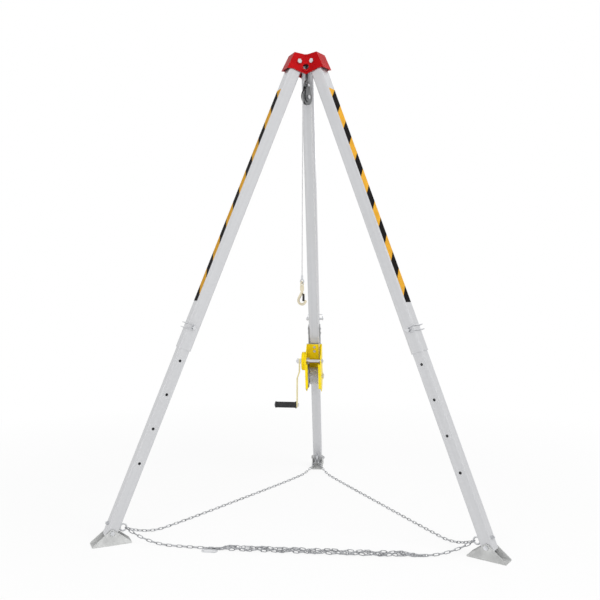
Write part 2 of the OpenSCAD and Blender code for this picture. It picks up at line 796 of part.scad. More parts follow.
// Drum
module drum_shaft() {
  color("silver") at_drum() {
    rod_x(drum_shaft_d, -plate_out, plate_out + 12);
    rod_x(drum_shaft_d + 8, -plate_out - 6, -plate_out);
    translate([plate_out + 7, 0, -19]) cylinder(d = 4, h = 38);
  }
}
module drum() {
  color("lightgray") at_drum() difference() {
    union() {
      rod_x(drum_core_d, drum_left - 1, drum_right + 1);
      rod_x(2 * drum_flange_r, drum_left - drum_flange_t, drum_left);
      rod_x(2 * drum_flange_r, drum_right, drum_right + drum_flange_t);
      rod_x(drum_shaft_d + 10, -plate_in + clear, plate_in - clear);
      translate([drum_left - 1, wind_r - 4, -rope_d - clear - 10])
        cube([wind_room + rope_d + 1, 8, 10]);
    }
    rod_x(drum_shaft_d + 2 * fit, -2 * plate_in, 2 * plate_in);
  }
}
function tooth_half(teeth, r) =
  let (flank = tan(22), pitch_half = (PI * gear_m / 2 - gear_play) / 2, pitch_r = gear_m * teeth / 2)
  (pitch_half - (r - pitch_r) * flank) / r * 180 / PI;
module gear_outline(teeth) {
  root = gear_m * teeth / 2 - gear_dedendum;
  tip = gear_m * teeth / 2 + gear_addendum;
  low = min(tooth_half(teeth, root), 170 / teeth);
  high = tooth_half(teeth, tip);
  polygon([for (k = [0 : teeth - 1], c = [[root, -low], [tip, -high], [tip, high], [root, low]])
    let (a = 360 * k / teeth + c[1]) c[0] * [cos(a), sin(a)]]);
}
module drum_gear() {
  color("gray") at_drum() difference() {
    side_plate(gear_x, gear_x + gear_t) rotate(mesh_a) gear_outline(gear_teeth);
    rod_x(drum_shaft_d + 10 + 2 * fit, 2 * gear_x, 0);
  }
}

// Crank, its pinion and the load brake
module crank_shaft() {
  color("silver") at_crank() {
    rod_x(crank_d, arm_x - arm_t - 14, plate_out + 6);
    side_plate(gear_x - 1, gear_x + gear_t + 1) rotate(mesh_a + 180 + 180 / pinion_teeth) gear_outline(pinion_teeth);
    rod_x(crank_d + 8, plate_out + clear, plate_out + 5);
  }
}
module ratchet_wheel() {
  phase = 86;
  step = 360 / ratchet_teeth;
  root = ratchet_r - ratchet_depth;
  color("gray") at_crank() side_plate(ratchet_x, ratchet_x + ratchet_t) difference() {
    polygon([for (k = [0 : ratchet_teeth - 1], c = [[root, 0], [ratchet_r, step - 0.01]])
      let (a = phase + k * step + c[1]) c[0] * [cos(a), sin(a)]]);
    circle(d = crank_d + 2 * fit);
  }
}
module brake_discs() {
  color("dimgray") at_crank() difference() {
    union() {
      rod_x(48, ratchet_x - disc_t, ratchet_x);
      rod_x(40, ratchet_x - disc_t - hub_t, ratchet_x - disc_t);
    }
    rod_x(crank_d + 2 * fit, 2 * ratchet_x, 0);
  }
}
pawl_tip = ratchet_r + 0.6;
module pawl() {
  color("gray") at_crank() side_plate(ratchet_x, ratchet_x + ratchet_t) difference() {
    union() {
      translate(pawl_pivot) circle(d = pawl_pin_d + 6);
      polygon([
        pawl_pivot + [2, 5.5], pawl_pivot + [-1, -5.5], [-10, ratchet_r + 1.5], [-2, pawl_tip],
        [1, pawl_tip], [2, pawl_tip + 4]
      ]);
    }
    translate(pawl_pivot) circle(d = pawl_pin_d + 2 * fit);
  }
}
module crank_arm() {
  color("khaki") at_crank_arm() difference() {
    union() {
      translate([0, arm_bar_w / 2, 0]) rotate([90, 0, 0]) linear_extrude(arm_bar_w) polygon([
        [arm_x, 0], [arm_x, -60], [arm_x - arm_jog, -95], [arm_x - arm_jog, -crank_len],
        [arm_x - arm_jog - arm_t, -crank_len], [arm_x - arm_jog - arm_t, -93], [arm_x - arm_t, -58],
        [arm_x - arm_t, 0]
      ]);
      rod_x(arm_bar_w, arm_x - arm_t, arm_x);
      translate([0, 0, -crank_len]) rod_x(arm_bar_w, arm_x - arm_jog - arm_t, arm_x - arm_jog);
    }
    rod_x(crank_d + 2 * fit, 2 * arm_x, 0);
    translate([0, 0, -crank_len]) rod_x(grip_pin_d + 2 * fit, 2 * arm_x, 0);
  }
}
grip_x = arm_x - arm_jog - arm_t - clear;
module crank_fasteners() {
  color("silver") at_crank_arm() {
    nut_x(24, crank_d, arm_x - arm_t - 10, arm_x - arm_t);
    nut_x(24, crank_d, arm_x, arm_x + 7);
    translate([0, 0, -crank_len]) {
      rod_x(grip_pin_d, grip_x - grip_len - clear - 1, arm_x - arm_jog + 6);
      rod_x(grip_pin_d + 6, grip_x - grip_len - clear - 4, grip_x - grip_len - clear);
      rod_x(grip_pin_d + 8, arm_x - arm_jog, arm_x - arm_jog + 6);
    }
  }
}
module crank_grip() {
  color("black") at_crank_arm() translate([grip_x, 0, -crank_len]) rotate([0, -90, 0]) rotate_extrude()
    difference() {
      union() {
        square([grip_d / 2 - 2, grip_len]);
        translate([0, 3]) square([grip_d / 2, grip_len - 9]);
        square([grip_d / 2 + 3, 6]);
        translate([0, grip_len - 6]) square([grip_d / 2 + 2, 4]);
      }
      square([grip_pin_d / 2 + fit, grip_len]);
    }
}

// Hook end of the line
module rope_end() {
  color("silver") at_line() {
    translate([0, 0, line_z - ferrule_h]) cylinder(d = 2 * rope_d, h = ferrule_h);
    translate([0, 0, thimble_z]) rotate([90, 0, 0]) ring(thimble_r, thimble_wire);
  }
}
module hook_swivel() {
  color("goldenrod") at_line() {
    translate([0, 0, swivel_z]) rotate([0, 90, 0]) ring(swivel_r, swivel_wire);
    difference() {
      translate([0, 0, barrel_bottom]) cylinder(d = swivel_d, h = swivel_h);
      translate([0, 0, barrel_bottom - 1]) cylinder(d = hook_t + 4 + 2 * fit, h = swivel_h - 7);
      translate([0, 0, barrel_bottom - 1]) cylinder(d = hook_t + 2 * fit, h = 4);
    }
  }
}
module at_hook() {
  at_line() rotate([0, 0, hook_turn - block_turn]) translate([0, 0, hook_z]) children();
}
module hook_arc(r, a0, a1, d) {
  rotate([90, 0, 0]) rotate([0, 0, a0]) rotate_extrude(angle = a1 - a0) translate([r, 0]) circle(d = d);
}
neck_z = barrel_bottom - clear - hook_z;
neck_l = 6;
hook_join_a = 90 - acos(hook_r / (neck_z - neck_l));
hook_tip_a = -165;
latch_at = [-8, 0, hook_r + 9];
latch_pin_d = 4;
lug_t = 5;
function hook_point(a) = hook_r * [cos(a), 0, sin(a)];
hook_tip = hook_point(hook_tip_a);
hook_tip_d = hook_t + 1.5;
module hook_body() {
  color("goldenrod") at_hook() difference() {
    union() {
      translate([0, 0, neck_z - neck_l]) cylinder(d = hook_t, h = neck_l + 8 + clear);
      translate([0, 0, neck_z + 4]) cylinder(d = hook_t + 4, h = 6);
      hook_arc(hook_r, hook_tip_a, hook_join_a + 8, hook_t);
      translate(hook_tip) sphere(d = hook_tip_d);
      rod_between(hook_point(hook_join_a), [0, 0, neck_z - neck_l], hook_t + 1);
      translate([0, 0, neck_z - neck_l]) sphere(d = hook_t + 2.5);
      translate(latch_at - [0, lug_t / 2, 0]) rotate([-90, 0, 0]) cylinder(d = 9, h = lug_t);
      translate(latch_at + [0, -lug_t / 2, -4.5]) cube([8, lug_t, 9]);
    }
    translate(latch_at - [0, hook_t, 0]) rotate([-90, 0, 0])
      cylinder(d = latch_pin_d + 2 * fit, h = 2 * hook_t);
  }
}
module at_latch(run) {
  translate(latch_at) rotate([0, 90 - atan2(run[2], run[0]), 0]) children();
}
module hook_latch() {
  bar = 6;
  run = hook_tip + [hook_tip_d / 2 + clear + bar / 2, 0, 1] - latch_at;
  half = lug_t / 2 + clear + latch_t;
  color("silver") at_hook() at_latch(run) {
    difference() {
      for (y = [-half, half - latch_t]) translate([0, y, 0]) {
        rotate([-90, 0, 0]) cylinder(d = 9, h = latch_t);
        translate([-bar / 2, 0, 0]) cube([bar, latch_t, norm(run)]);
      }
      translate([0, -hook_t, 0]) rotate([-90, 0, 0]) cylinder(d = latch_pin_d, h = 2 * hook_t);
    }
    translate([0, -half, 0]) rotate([-90, 0, 0]) cylinder(d = latch_pin_d, h = 2 * half);
    translate([-bar / 2, -half, norm(run) - 8]) cube([bar, 2 * half, 8]);
  }
}

head_casting();
pivot_bolts();
head_eye_bolt();
pulley_cheeks();
pulley_pins();
sheave();
rope_hook();
rope_lift();
rope_winding();
chain_front();
chain_left();
chain_right();
chain_snap_link();
chain_end_left();
chain_end_right();
chain_end_rear();
upper_tube(left_az);  // upper_tube_left
upper_tube(right_az);  // upper_tube_right
upper_tube(rear_az, bracket_screws);  // upper_tube_rear
hazard_tape(left_az);  // hazard_tape_left
hazard_tape(right_az);  // hazard_tape_right
hazard_tape(rear_az);  // hazard_tape_rear
lower_tube(left_az);  // lower_tube_left
lower_tube(right_az);  // lower_tube_right
lower_tube(rear_az);  // lower_tube_rear
chain_eye(left_az);  // chain_eye_left
chain_eye(right_az);  // chain_eye_right
chain_eye(rear_az);  // chain_eye_rear
foot_bolt(left_az);  // foot_bolt_left
foot_bolt(right_az);  // foot_bolt_right
foot_bolt(rear_az);  // foot_bolt_rear
foot(left_az);  // foot_left
foot(right_az);  // foot_right
foot(rear_az);  // foot_rear
lock_pin(left_az, -1);  // lock_pin_left
lock_pin(right_az, 1);  // lock_pin_right
lock_pin(rear_az, -1);  // lock_pin_rear
lock_bail(left_az, -1);  // lock_bail_left
lock_bail(right_az, 1);  // lock_bail_right
lock_bail(rear_az, -1);  // lock_bail_rear
winch_bracket();
winch_frame();
winch_bolts();
brake_cover();
tie_bar();
drum_shaft();
drum();
drum_gear();
crank_shaft();
ratchet_wheel();
brake_discs();
crank_arm();
crank_fasteners();
crank_grip();
pawl();
rope_end();
hook_swivel();
hook_body();
hook_latch();
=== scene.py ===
"""Looks of the rescue tripod: finishes for its solids, chain links, laid wire rope and the studio."""

import json
import math

import bpy
import numpy as np
from mathutils import Matrix


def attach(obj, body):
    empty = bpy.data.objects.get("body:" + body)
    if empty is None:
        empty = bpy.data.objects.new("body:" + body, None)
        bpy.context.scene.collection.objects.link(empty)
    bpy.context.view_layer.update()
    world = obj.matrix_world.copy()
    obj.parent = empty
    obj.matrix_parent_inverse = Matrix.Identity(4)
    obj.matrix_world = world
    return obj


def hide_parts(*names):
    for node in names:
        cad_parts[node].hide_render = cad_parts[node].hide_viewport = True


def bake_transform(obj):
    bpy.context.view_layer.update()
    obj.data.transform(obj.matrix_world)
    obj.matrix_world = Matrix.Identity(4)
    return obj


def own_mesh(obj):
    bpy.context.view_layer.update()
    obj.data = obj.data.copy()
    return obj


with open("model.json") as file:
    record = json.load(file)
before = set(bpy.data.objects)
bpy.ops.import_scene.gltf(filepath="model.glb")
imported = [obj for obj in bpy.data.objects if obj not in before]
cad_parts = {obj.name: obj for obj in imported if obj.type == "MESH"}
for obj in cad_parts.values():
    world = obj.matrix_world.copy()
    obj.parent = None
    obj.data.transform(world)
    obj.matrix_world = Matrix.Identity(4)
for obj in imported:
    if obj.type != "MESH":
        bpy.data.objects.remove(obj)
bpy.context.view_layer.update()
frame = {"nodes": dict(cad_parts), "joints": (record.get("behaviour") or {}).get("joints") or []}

bl_info = {
    "name": "Rescue Tripod",
    "version": (1, 0, 0),
    "blender": (4, 5, 0),
    "location": "View3D > Sidebar > Tripod",
    "description": "Dresses a rescue tripod with chain, wire rope, hazard tape and worn metal finishes",
    "category": "Object",
}

JOINTS = {joint["name"]: joint for joint in frame["joints"]}
NODES = frame["nodes"]

# Leg directions seen from above, in degrees, and the lean of every leg
LEG_TURN = {"left": 210.0, "right": 330.0, "rear": 90.0}
LEG_LEAN = 22.25

# Chain eyes: distance up the leg from its foot bolt and inward from its middle
EYE_UP = 0.027
EYE_IN = 0.0565
# Share of a span that rises from the floor to an eye
RISE_SHARE = 0.14
# Each chain span runs from one leg to the next with a sideways bow in metres
SPANS = {
    "front": ("left", "right", 0.060),
    "left": ("rear", "left", -0.028),
    "right": ("right", "rear", -0.012),
}
# Part of the front span where the spare chain is twisted round it
BUNDLE_START = 0.285
BUNDLE_END = 0.845
# Share of the span in which it winds on, and by which each spare strand starts earlier
BUNDLE_FADE = 0.03
SPARE_STEP = 0.01
# Share of a span between an eye and the chain's first link
CHAIN_INSET = 0.004

# Hook line: radius on the sheave, turn of the block, wrap over the sheave and the points on it,
# straight length past it, and hanging length
SHEAVE_RADIUS = 0.030
BLOCK_TURN = math.radians(-30.0)
SHEAVE_WRAP = math.radians(158.0)
WRAP_POINTS = 17
SHEAVE_PAST = 0.024
LINE_LENGTH = 0.820
# Winding on the drum: first turn's place, radius of the outer layer, turns, spacing, points of a turn,
# and the layers' spacing as a share of the rope's thickness
WIND_X = -0.021
WIND_RADIUS = 0.045
WIND_TURNS = 9
WIND_PITCH = 0.0055
TURN_POINTS = 48
LAYER_SHARE = 0.86

# Camera of the photograph
CAMERA_PLACE = (0.2775, -3.4791, 1.0825)
CAMERA_YAW = math.radians(-5.3435)
CAMERA_PITCH = math.radians(-1.3837)
CAMERA_ROLL = math.radians(0.2511)
CAMERA_LENS = 42.24
SENSOR = 36.0

# Studio: side that most light comes from, height that the lamps aim at, the floor's half width and drop
BRIGHT_SIDE = (0.8, -0.6, 0.0)
LAMP_AIM = 1.0
FLOOR_HALF = 14.0
FLOOR_DROP = 0.0004
WHITE = (1.0, 1.0, 1.0, 1.0)

# Bare metal that shows where paint is worn off
BARE_HEAD = (0.45, 0.44, 0.43, 1.0)
BARE_WINCH = (0.40, 0.39, 0.37, 1.0)
BARE_BRACKET = (0.38, 0.38, 0.39, 1.0)
BARE_FOOT = (0.42, 0.42, 0.43, 1.0)


class TripodSizes(bpy.types.PropertyGroup):
    """Sizes of the soft and repeated parts."""

    rope_diameter: bpy.props.FloatProperty(
        name="Rope Diameter", description="Thickness of the hook line", default=0.005, unit="LENGTH"
    )
    rope_lay: bpy.props.FloatProperty(
        name="Rope Lay",
        description="Length in which a strand goes once round",
        default=0.036,
        unit="LENGTH",
    )
    rope_strands: bpy.props.IntProperty(
        name="Rope Strands", description="Strands seen round the rope", default=6, min=3, max=9
    )
    link_pitch: bpy.props.FloatProperty(
        name="Link Pitch", description="Spacing of the chain links", default=0.0225, unit="LENGTH"
    )
    link_wire: bpy.props.FloatProperty(
        name="Link Wire", description="Thickness of a link's wire", default=0.0036, unit="LENGTH"
    )
    link_inside: bpy.props.FloatProperty(
        name="Link Inside Width", description="Clear width inside a link", default=0.0056, unit="LENGTH"
    )
    bundle_radius: bpy.props.FloatProperty(
        name="Bundle Radius",
        description="How far the spare chain stands off the front span",
        default=0.0065,
        unit="LENGTH",
    )
    bundle_twist: bpy.props.FloatProperty(
        name="Bundle Twist",
        description="Length in which the spare chain goes once round",
        default=0.135,
        unit="LENGTH",
    )
    stripe_period: bpy.props.FloatProperty(
        name="Stripe Period",
        description="Length of one dark and one amber stripe",
        default=0.1586,
        unit="LENGTH",
    )
    stripe_start: bpy.props.FloatProperty(
        name="Stripe Start",
        description="Distance below the pivot where a dark stripe ends",
        default=0.096,
        unit="LENGTH",
    )


def colour_property(label, words, value):
    """One colour of the finishes, as a bpy property."""
    return bpy.props.FloatVectorProperty(
        name=label, description=words, default=value, size=4, min=0.0, max=1.0, subtype="COLOR"
    )


class TripodColours(bpy.types.PropertyGroup):
    """Colours of the finishes."""

    head_red: colour_property("Head Red", "Enamel of the head", (0.40, 0.004, 0.006, 1.0))
    aluminium: colour_property("Aluminium", "Anodised leg tubes", (0.62, 0.625, 0.64, 1.0))
    zinc: colour_property("Zinc", "Bright zinc on fasteners", (0.74, 0.75, 0.77, 1.0))
    chain: colour_property("Chain", "Zinc on the chain", (0.58, 0.59, 0.61, 1.0))
    wire: colour_property("Wire", "Galvanised wire rope", (0.84, 0.84, 0.85, 1.0))
    amber: colour_property("Amber", "Light stripes of the tape", (0.74, 0.38, 0.035, 1.0))
    black: colour_property("Black", "Dark stripes of the tape", (0.007, 0.006, 0.006, 1.0))
    winch_yellow: colour_property("Winch Yellow", "Enamel of the winch", (0.95, 0.71, 0.012, 1.0))
    bracket_grey: colour_property("Bracket Grey", "Paint of the winch bracket", (0.34, 0.345, 0.35, 1.0))
    dull_zinc: colour_property("Dull Zinc", "Coated sheet of the feet", (0.50, 0.505, 0.50, 1.0))
    straw: colour_property("Straw Zinc", "Yellow zinc of the crank", (0.88, 0.78, 0.42, 1.0))
    rubber: colour_property("Rubber", "Crank grip", (0.018, 0.018, 0.019, 1.0))
    brass: colour_property("Gold Zinc", "Hook and swivel", (0.84, 0.76, 0.58, 1.0))
    gear_steel: colour_property("Gear Steel", "Oiled gears and ratchet", (0.16, 0.155, 0.15, 1.0))
    block_grey: colour_property("Block Grey", "Cheeks of the pulley block", (0.22, 0.225, 0.23, 1.0))


def sizes():
    """The scene's sizes."""
    return bpy.context.scene.tripod_sizes


def colours():
    """The scene's colours."""
    return bpy.context.scene.tripod_colours


# Places


def leg_axes(leg):
    """A leg's frame: its pivot, and a matrix whose columns run across, outward from and up the leg.
    The matrix turns about Z by the leg's direction less 90 degrees, after a tilt about X by the lean."""
    turn = math.radians(LEG_TURN[leg] - 90.0)
    lean = math.radians(LEG_LEAN)
    about_z = np.array(
        [[math.cos(turn), -math.sin(turn), 0.0], [math.sin(turn), math.cos(turn), 0.0], [0.0, 0.0, 1.0]]
    )
    about_x = np.array(
        [[1.0, 0.0, 0.0], [0.0, math.cos(lean), -math.sin(lean)], [0.0, math.sin(lean), math.cos(lean)]]
    )
    return np.array(JOINTS["fold_" + leg]["pos_m"]), about_z @ about_x


def chain_eye(leg):
    """Where the chain meets a leg's eye."""
    pivot, axes = leg_axes(leg)
    foot = axes.T @ (np.array(JOINTS["foot_tilt_" + leg]["pos_m"]) - pivot)
    return pivot + axes @ np.array([0.0, -EYE_IN, foot[2] + EYE_UP])


def unit(vectors):
    """Vectors of length one."""
    return vectors / np.linalg.norm(vectors, axis=-1, keepdims=True)


def smooth_step(values):
    """0 below 0, 1 above 1, and 3t squared less 2t cubed between."""
    t = np.clip(values, 0.0, 1.0)
    return t * t * (3.0 - 2.0 * t)


def chain_line(span, t, lift=0.0065):
    """Points of a chain span at shares t of its length: the straight plan line between two eyes, pushed
    sideways by the bow times one less the fourth power of 2t - 1, with a height that falls from
    each eye to the floor as a squared ramp over the rise's share."""
    start, end, bow = SPANS[span]
    a, b = chain_eye(start), chain_eye(end)
    run = unit(b - a)
    side = np.array([run[1], -run[0], 0.0])
    ramp = np.clip(1.0 - np.minimum(t, 1.0 - t) / RISE_SHARE, 0.0, 1.0)
    points = a + (b - a) * t[:, None] + side * (bow * (1.0 - (2.0 * t - 1.0) ** 4))[:, None]
    points[:, 2] = lift + (a[2] - lift) * ramp**2
    return points


def path_frames(points):
    """Forward, sideways and upward directions along a path. Forward is the central difference,
    sideways its cross product with Z, and upward the cross product of the two."""
    forward = unit(np.gradient(points, axis=0))
    side = unit(np.cross(forward, np.array([0.0, 0.0, 1.0])))
    return forward, side, np.cross(side, forward)


def even_steps(points, step):
    """The path again at equal arc-length steps, by linear interpolation of the running length."""
    run = np.concatenate([[0.0], np.cumsum(np.linalg.norm(np.diff(points, axis=0), axis=1))])
    count = max(2, int(round(run[-1] / step)) + 1)
    at = np.linspace(0.0, run[-1], count)
    return np.stack([np.interp(at, run, points[:, k]) for k in range(3)], axis=1)


# Meshes


def mesh_piece(name, points, faces, uv=None, smooth=True):
    """A mesh object at the origin from arrays of points, faces and, if given, a UV per point."""
    mesh = bpy.data.meshes.new(name)
    mesh.from_pydata(points.reshape(-1, 3), [], faces)
    if uv is not None:
        layer = mesh.uv_layers.new(name="UVMap")
        corner = np.zeros(len(mesh.loops), dtype=np.int32)
        mesh.loops.foreach_get("vertex_index", corner)
        layer.data.foreach_set("uv", uv.reshape(-1, 2)[corner].astype(np.float32).ravel())
    mesh.polygons.foreach_set("use_smooth", np.full(len(mesh.polygons), smooth))
    mesh.update()
    piece = bpy.data.objects.new(name, mesh)
    bpy.context.scene.collection.objects.link(piece)
    return piece


def grid_faces(rows, columns, wrap_rows, wrap_columns):
    """Quads of a grid of points, closed across either direction where asked."""
    r = np.arange(rows if wrap_rows else rows - 1)[:, None]
    c = np.arange(columns if wrap_columns else columns - 1)[None, :]
    r2, c2 = (r + 1) % rows, (c + 1) % columns
    corners = (r * columns + c, r * columns + c2, r2 * columns + c2, r2 * columns + c)
    return np.stack(np.broadcast_arrays(*corners), -1).reshape(-1, 4)


def rope_piece(name, path):
    """Laid rope as one surface: a round profile with one lobe per strand is carried along the path and
    turned once for each lay length. The profile's radius falls by up to a fifth between strands, as one
    less the size of the sine of half the strand angle. Both ends are closed by a flat cap."""
    size = sizes()
    points = even_steps(path, size.rope_lay / 10.0)
    run = np.concatenate([[0.0], np.cumsum(np.linalg.norm(np.diff(points, axis=0), axis=1))])
    forward = unit(np.gradient(points, axis=0))
    guide = np.array([1.0, 0.02, 0.0])
    side = unit(guide - forward * (forward @ guide)[:, None])
    up = np.cross(forward, side)
    around = size.rope_strands * 4
    angle = np.arange(around) * 2.0 * math.pi / around
    dip = np.abs(np.sin(angle * size.rope_strands / 2.0))
    radius = size.rope_diameter / 2.0 * (1.0 - 0.2 * (1.0 - dip))
    turn = angle[None, :] + (2.0 * math.pi * run / size.rope_lay)[:, None]
    ring = (
        points[:, None, :]
        + (radius * np.cos(turn))[..., None] * side[:, None, :]
        + (radius * np.sin(turn))[..., None] * up[:, None, :]
    )
    round_it = (angle / (2.0 * math.pi))[None, :]
    uv = np.stack(np.broadcast_arrays(run[:, None] / size.rope_lay, round_it), -1)
    faces = grid_faces(len(points), around, False, True).tolist()
    last = (len(points) - 1) * around
    faces.append(list(range(around - 1, -1, -1)))
    faces.append(list(range(last, last + around)))
    return mesh_piece(name, ring, faces, uv)


def link_shape():
    """One chain link: a wire circle carried round a stadium whose straight sides run along X.
    Gives an array of points, rows round the stadium and columns round the wire."""
    size = sizes()
    wire = size.link_wire / 2.0
    bend = size.link_inside / 2.0 + wire
    straight = (size.link_pitch + size.link_wire) / 2.0 - bend
    angle = np.linspace(-math.pi / 2.0, math.pi / 2.0, 6)
    half = np.stack([straight + bend * np.cos(angle), bend * np.sin(angle)], -1)
    loop = np.concatenate([half, -half])
    spoke = np.stack([np.cos(angle), np.sin(angle)], -1)
    outward = np.concatenate([spoke, -spoke])
    around = np.arange(5) * 2.0 * math.pi / 5
    flat = loop[:, None, :] + wire * np.cos(around)[None, :, None] * outward[:, None, :]
    height = np.broadcast_to(wire * np.sin(around)[None, :], flat.shape[:2])
    return np.concatenate([flat, height[..., None]], -1)


def link_stations(path):
    """Middles and directions of the links on a path: equal steps of the link pitch, every other link
    turned a quarter, all leaning 45 degrees so that they rest on two sides."""
    points = even_steps(path, sizes().link_pitch)
    forward, side, up = path_frames(points)
    roll = (math.pi / 4.0 + (np.arange(len(points)) % 2) * math.pi / 2.0)[:, None]
    across = side * np.cos(roll) + up * np.sin(roll)
    return points, np.stack([forward, across, np.cross(forward, across)], -1)


def links_piece(name, middles, turns):
    """All links of a stretch as one mesh: the link's points, turned and moved to each station."""
    shape = link_shape()
    rows, columns, _ = shape.shape
    points = middles[:, None, None, :] + np.einsum("nij,rcj->nrci", turns, shape)
    faces = grid_faces(rows, columns, True, True)
    first = (np.arange(len(middles)) * rows * columns)[:, None, None]
    return mesh_piece(name, points, (faces[None, :, :] + first).reshape(-1, 4).tolist())


# Shader groups and finishes


def add(tree, kind, inputs=None, **settings):
    """A shader node with its settings, and inputs that are values or links from other sockets."""
    node = tree.nodes.new(kind)
    for key, value in settings.items():
        setattr(node, key, value)
    for key, value in (inputs or {}).items():
        if isinstance(value, bpy.types.NodeSocket):
            tree.links.new(value, node.inputs[key])
        else:
            node.inputs[key].default_value = value
    return node


def math_node(tree, operation, *values):
    """A math node on values or sockets."""
    return add(tree, "ShaderNodeMath", dict(enumerate(values)), operation=operation)


def vector_node(tree, operation, *values):
    """A vector math node on values or sockets."""
    return add(tree, "ShaderNodeVectorMath", dict(enumerate(values)), operation=operation)


def noise_node(tree, vector, scale, detail, **more):
    """A noise texture at a place."""
    return add(tree, "ShaderNodeTexNoise", {"Vector": vector, "Scale": scale, "Detail": detail, **more})


def range_node(tree, value, low, high, to_low=0.0, to_high=1.0):
    """A node that maps low to to_low and high to to_high, clamped."""
    ends = {"From Min": low, "From Max": high, "To Min": to_low, "To Max": to_high}
    return add(tree, "ShaderNodeMapRange", {"Value": value, **ends})


def add_relief(tree, shader, height, strength, distance):
    """Bump on a shader's normal."""
    bump = add(tree, "ShaderNodeBump", {"Height": height, "Strength": strength, "Distance": distance})
    tree.links.new(bump.outputs[0], shader.inputs["Normal"])


def shader_group(name, takes, gives):
    """An empty node group with named float sockets, and a vector first."""
    group = bpy.data.node_groups.new(name, "ShaderNodeTree")
    group.interface.new_socket(name="Vector", in_out="INPUT", socket_type="NodeSocketVector")
    for label in takes:
        group.interface.new_socket(name=label, in_out="INPUT", socket_type="NodeSocketFloat")
    for label in gives:
        group.interface.new_socket(name=label, in_out="OUTPUT", socket_type="NodeSocketFloat")
    return group, group.nodes.new("NodeGroupInput"), group.nodes.new("NodeGroupOutput")


def grain_group():
    """Grain of a surface: a broad and a fine noise, drawn out along Z by the stretch."""
    group, start, end = shader_group("Surface Grain", ("Scale", "Stretch"), ("Broad", "Fine"))
    factors = add(group, "ShaderNodeCombineXYZ", {"X": 1.0, "Y": 1.0, "Z": start.outputs["Stretch"]})
    drawn = vector_node(group, "MULTIPLY", start.outputs["Vector"], factors.outputs[0])
    coarse = math_node(group, "MULTIPLY", start.outputs["Scale"], 0.05)
    broad = noise_node(group, drawn.outputs[0], coarse.outputs[0], 4.0)
    fine = noise_node(group, drawn.outputs[0], start.outputs["Scale"], 3.0)
    group.links.new(broad.outputs[0], end.inputs["Broad"])
    group.links.new(fine.outputs[0], end.inputs["Fine"])
    return group


def wear_group():
    """Edge wear: one less the dot product of the rounded and the true normal, broken up by noise."""
    group, start, end = shader_group("Edge Wear", ("Radius", "Scale", "Amount"), ("Mask",))
    rounded = add(group, "ShaderNodeBevel", {"Radius": start.outputs["Radius"]}, samples=4)
    true = add(group, "ShaderNodeNewGeometry")
    dot = vector_node(group, "DOT_PRODUCT", rounded.outputs[0], true.outputs["Normal"])
    edge = range_node(group, dot.outputs["Value"], 0.985, 0.85)
    noise = noise_node(group, start.outputs["Vector"], start.outputs["Scale"], 5.0, Roughness=0.65)
    patch = range_node(group, noise.outputs[0], 0.48, 0.62)
    both = math_node(group, "MULTIPLY", edge.outputs[0], patch.outputs[0])
    amount = math_node(group, "MULTIPLY", both.outputs[0], start.outputs["Amount"])
    group.links.new(amount.outputs[0], end.inputs["Mask"])
    return group


def scuff_group():
    """Scuffs: thin marks where a noise that is drawn out along Z passes its middle, in broad patches."""
    group, start, end = shader_group("Scuffs", ("Scale", "Amount"), ("Mask",))
    drawn = vector_node(group, "MULTIPLY", start.outputs["Vector"], (1.0, 1.0, 0.12))
    noise = noise_node(group, drawn.outputs[0], start.outputs["Scale"], 2.0, Distortion=0.6)
    away = math_node(group, "SUBTRACT", noise.outputs[0], 0.5)
    size = math_node(group, "ABSOLUTE", away.outputs[0])
    line = range_node(group, size.outputs[0], 0.012, 0.0)
    patch = noise_node(group, start.outputs["Vector"], 9.0, 2.0)
    where = range_node(group, patch.outputs[0], 0.5, 0.7)
    both = math_node(group, "MULTIPLY", line.outputs[0], where.outputs[0])
    amount = math_node(group, "MULTIPLY", both.outputs[0], start.outputs["Amount"])
    group.links.new(amount.outputs[0], end.inputs["Mask"])
    return group


def group_node(tree, maker, name, inputs):
    """A shader group placed in a material, made on first use."""
    group = bpy.data.node_groups.get(name) or maker()
    return add(tree, "ShaderNodeGroup", inputs, node_tree=group)


def grain_of(tree, vector, scale, stretch=1.0):
    """Surface grain placed in a material."""
    inputs = {"Vector": vector, "Scale": scale, "Stretch": stretch}
    return group_node(tree, grain_group, "Surface Grain", inputs)


def scuffs_of(tree, vector, scale, amount):
    """The mask of the scuffs placed in a material."""
    inputs = {"Vector": vector, "Scale": scale, "Amount": amount}
    return group_node(tree, scuff_group, "Scuffs", inputs).outputs["Mask"]


def new_finish(name):
    """An empty material with its shader joined to its output."""
    finish = bpy.data.materials.new(name)
    finish.use_nodes = True
    tree = finish.node_tree
    tree.nodes.clear()
    shader = add(tree, "ShaderNodeBsdfPrincipled")
    add(tree, "ShaderNodeOutputMaterial", {"Surface": shader.outputs[0]})
    return finish, tree, shader


def place_vector(tree, leg=None):
    """Object coordinates, turned into a leg's own frame where a leg is given."""
    coordinates = add(tree, "ShaderNodeTexCoord").outputs["Object"]
    if leg is None:
        return coordinates
    pivot, _ = leg_axes(leg)
    turned = add(
        tree,
        "ShaderNodeMapping",
        {
            "Vector": coordinates,
            "Location": tuple(pivot),
            "Rotation": (math.radians(LEG_LEAN), 0.0, math.radians(LEG_TURN[leg] - 90.0)),
        },
        vector_type="TEXTURE",
    )
    return turned.outputs[0]


def mixed(tree, factor, a, b):
    """A colour mixed by a factor."""
    node = add(tree, "ShaderNodeMix", {"Factor": factor}, data_type="RGBA")
    for index, value in ((6, a), (7, b)):
        if isinstance(value, bpy.types.NodeSocket):
            tree.links.new(value, node.inputs[index])
        else:
            node.inputs[index].default_value = value
    return node.outputs[2]


def spread(tree, value, low, high):
    """A noise value mapped to a range."""
    node = range_node(tree, value, 0.3, 0.7, low, high)
    return node.outputs[0]


